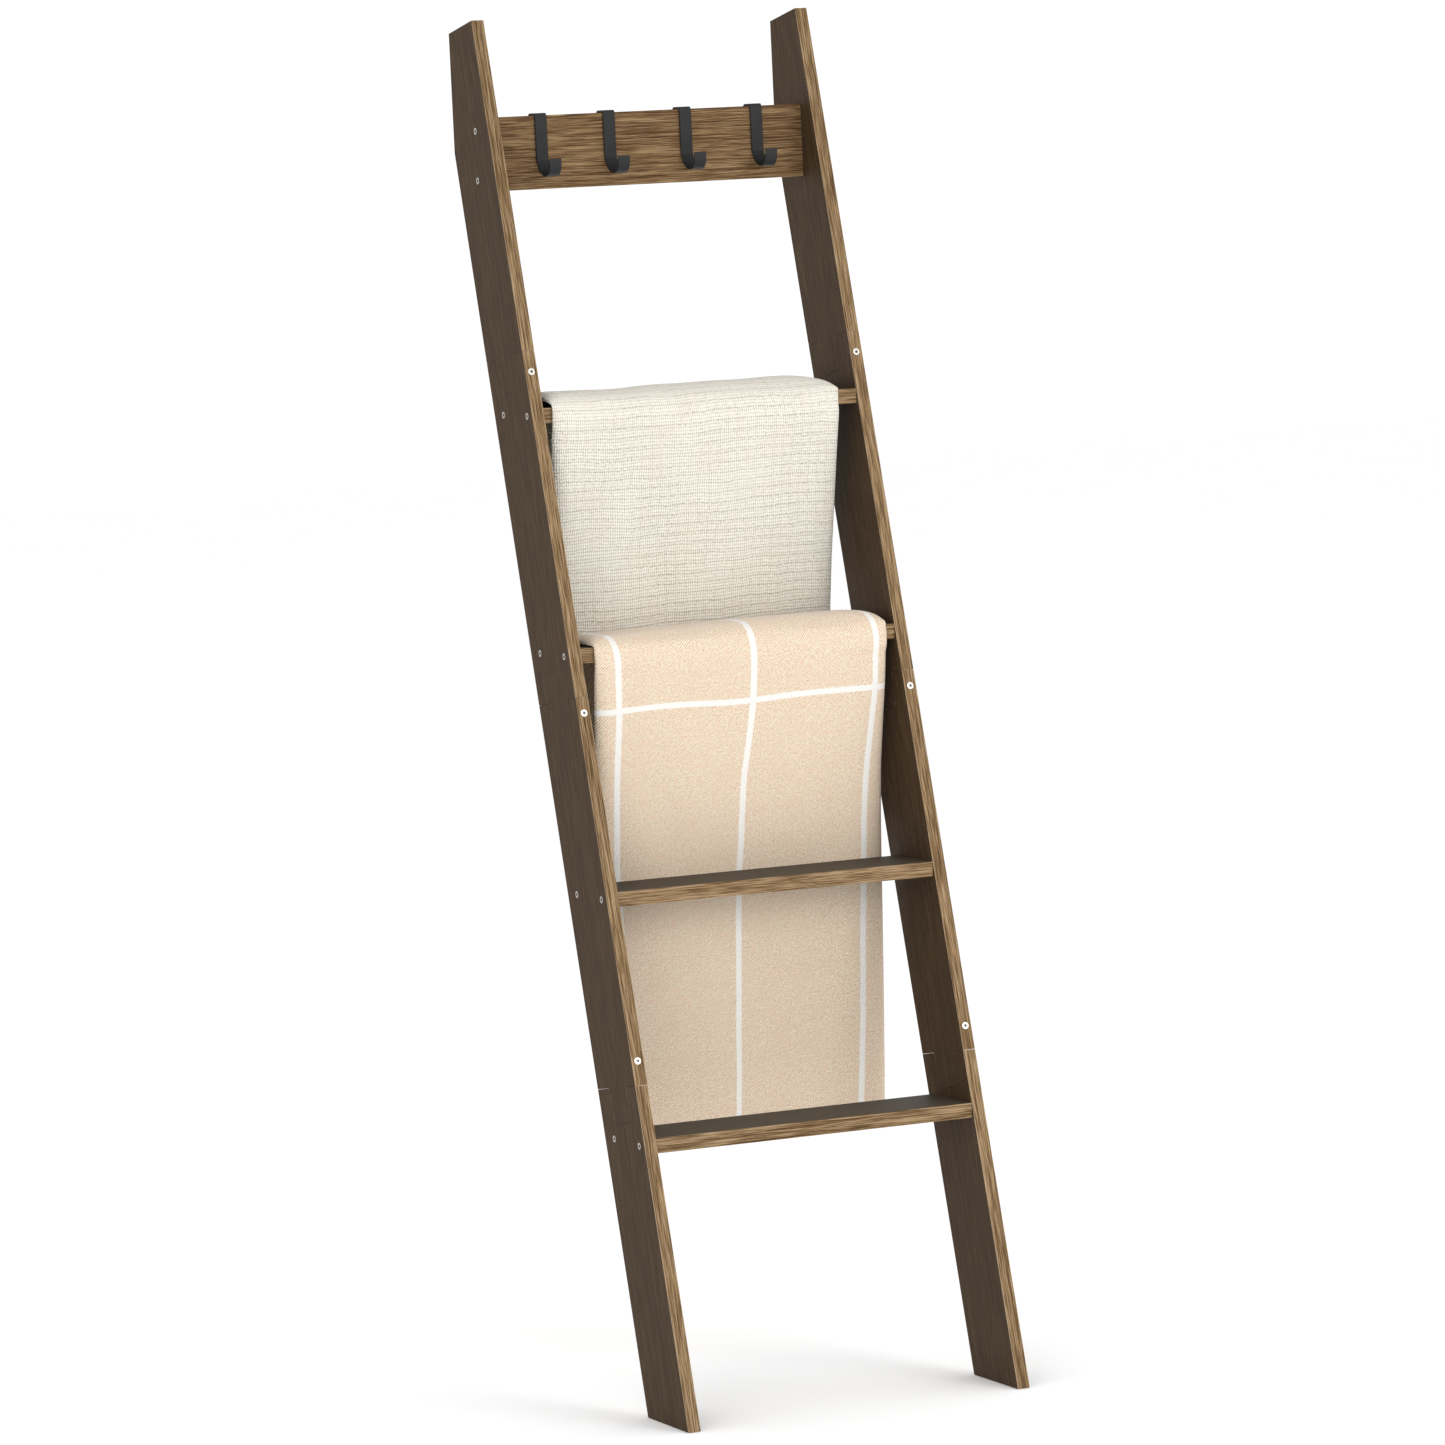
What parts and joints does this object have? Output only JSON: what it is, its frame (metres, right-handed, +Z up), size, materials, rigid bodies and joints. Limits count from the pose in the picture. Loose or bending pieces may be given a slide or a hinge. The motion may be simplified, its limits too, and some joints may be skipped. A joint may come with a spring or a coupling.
{
  "type": "blanket ladder with throws",
  "caption": "Wall-leaning wooden blanket ladder with shelf-like rungs, a board of sliding flat hooks and folded throws draped over its upper rungs.",
  "frame": {"origin": "floor level, in the middle of the footprint between the front of the feet and the wall", "axes": "+X to the right seen from the front, +Y towards the wall, +Z up"},
  "size_m": [0.4266, 0.501, 1.579],
  "materials": {
    "wood_laminate": "dark wood-look laminate",
    "wood_board": "wood-look laminate",
    "zinc_screw": "zinc plated",
    "black_steel": "matt black powder coat",
    "cream_throw_cloth": "cream waffle weave",
    "peach_throw_cloth": "peach twill with white windowpane stripes"
  },
  "bodies": {
    "ladder": {"rail_left_foot": "wood_laminate", "rail_left_lower": "wood_laminate", "rail_left_upper": "wood_laminate", "rail_left_top": "wood_laminate", "rail_right_foot": "wood_laminate", "rail_right_lower": "wood_laminate", "rail_right_upper": "wood_laminate", "rail_right_top": "wood_laminate", "rung_bottom": "wood_board", "rung_lower": "wood_board", "rung_upper": "wood_board", "rung_top": "wood_board", "hook_board": "wood_board", "screw_rung_bottom_left_front": "zinc_screw", "screw_rung_bottom_left_rear": "zinc_screw", "screw_rung_bottom_right_front": "zinc_screw", "screw_rung_bottom_right_rear": "zinc_screw", "screw_rung_lower_left_front": "zinc_screw", "screw_rung_lower_left_rear": "zinc_screw", "screw_rung_lower_right_front": "zinc_screw", "screw_rung_lower_right_rear": "zinc_screw", "screw_rung_upper_left_front": "zinc_screw", "screw_rung_upper_left_rear": "zinc_screw", "screw_rung_upper_right_front": "zinc_screw", "screw_rung_upper_right_rear": "zinc_screw", "screw_rung_top_left_front": "zinc_screw", "screw_rung_top_left_rear": "zinc_screw", "screw_rung_top_right_front": "zinc_screw", "screw_rung_top_right_rear": "zinc_screw", "screw_board_left_low": "zinc_screw", "screw_board_left_high": "zinc_screw", "screw_board_right_low": "zinc_screw", "screw_board_right_high": "zinc_screw", "screw_joint_left_foot": "zinc_screw", "screw_joint_left_lower": "zinc_screw", "screw_joint_left_upper": "zinc_screw", "screw_joint_right_foot": "zinc_screw", "screw_joint_right_lower": "zinc_screw", "screw_joint_right_upper": "zinc_screw"},
    "first_hook": {"hook_1": "black_steel"},
    "second_hook": {"hook_2": "black_steel"},
    "third_hook": {"hook_3": "black_steel"},
    "fourth_hook": {"hook_4": "black_steel"},
    "cream_throw": {"throw_cream": "cream_throw_cloth"},
    "peach_throw": {"throw_peach": "peach_throw_cloth"}
  },
  "joints": [
    {"name": "first_hook_slide", "type": "slide", "parent": "ladder", "child": "first_hook", "axis": [1, 0, 0], "range_m": [-0.03, 0.03]},
    {"name": "second_hook_slide", "type": "slide", "parent": "ladder", "child": "second_hook", "axis": [1, 0, 0], "range_m": [-0.03, 0.03]},
    {"name": "third_hook_slide", "type": "slide", "parent": "ladder", "child": "third_hook", "axis": [1, 0, 0], "range_m": [-0.03, 0.03]},
    {"name": "fourth_hook_slide", "type": "slide", "parent": "ladder", "child": "fourth_hook", "axis": [1, 0, 0], "range_m": [-0.03, 0.03]},
    {"name": "cream_throw_slide", "type": "slide", "parent": "ladder", "child": "cream_throw", "axis": [1, 0, 0], "range_m": [-0.008, 0.015]},
    {"name": "peach_throw_slide", "type": "slide", "parent": "ladder", "child": "peach_throw", "axis": [1, 0, 0], "range_m": [-0.012, 0.008]}
  ]
}
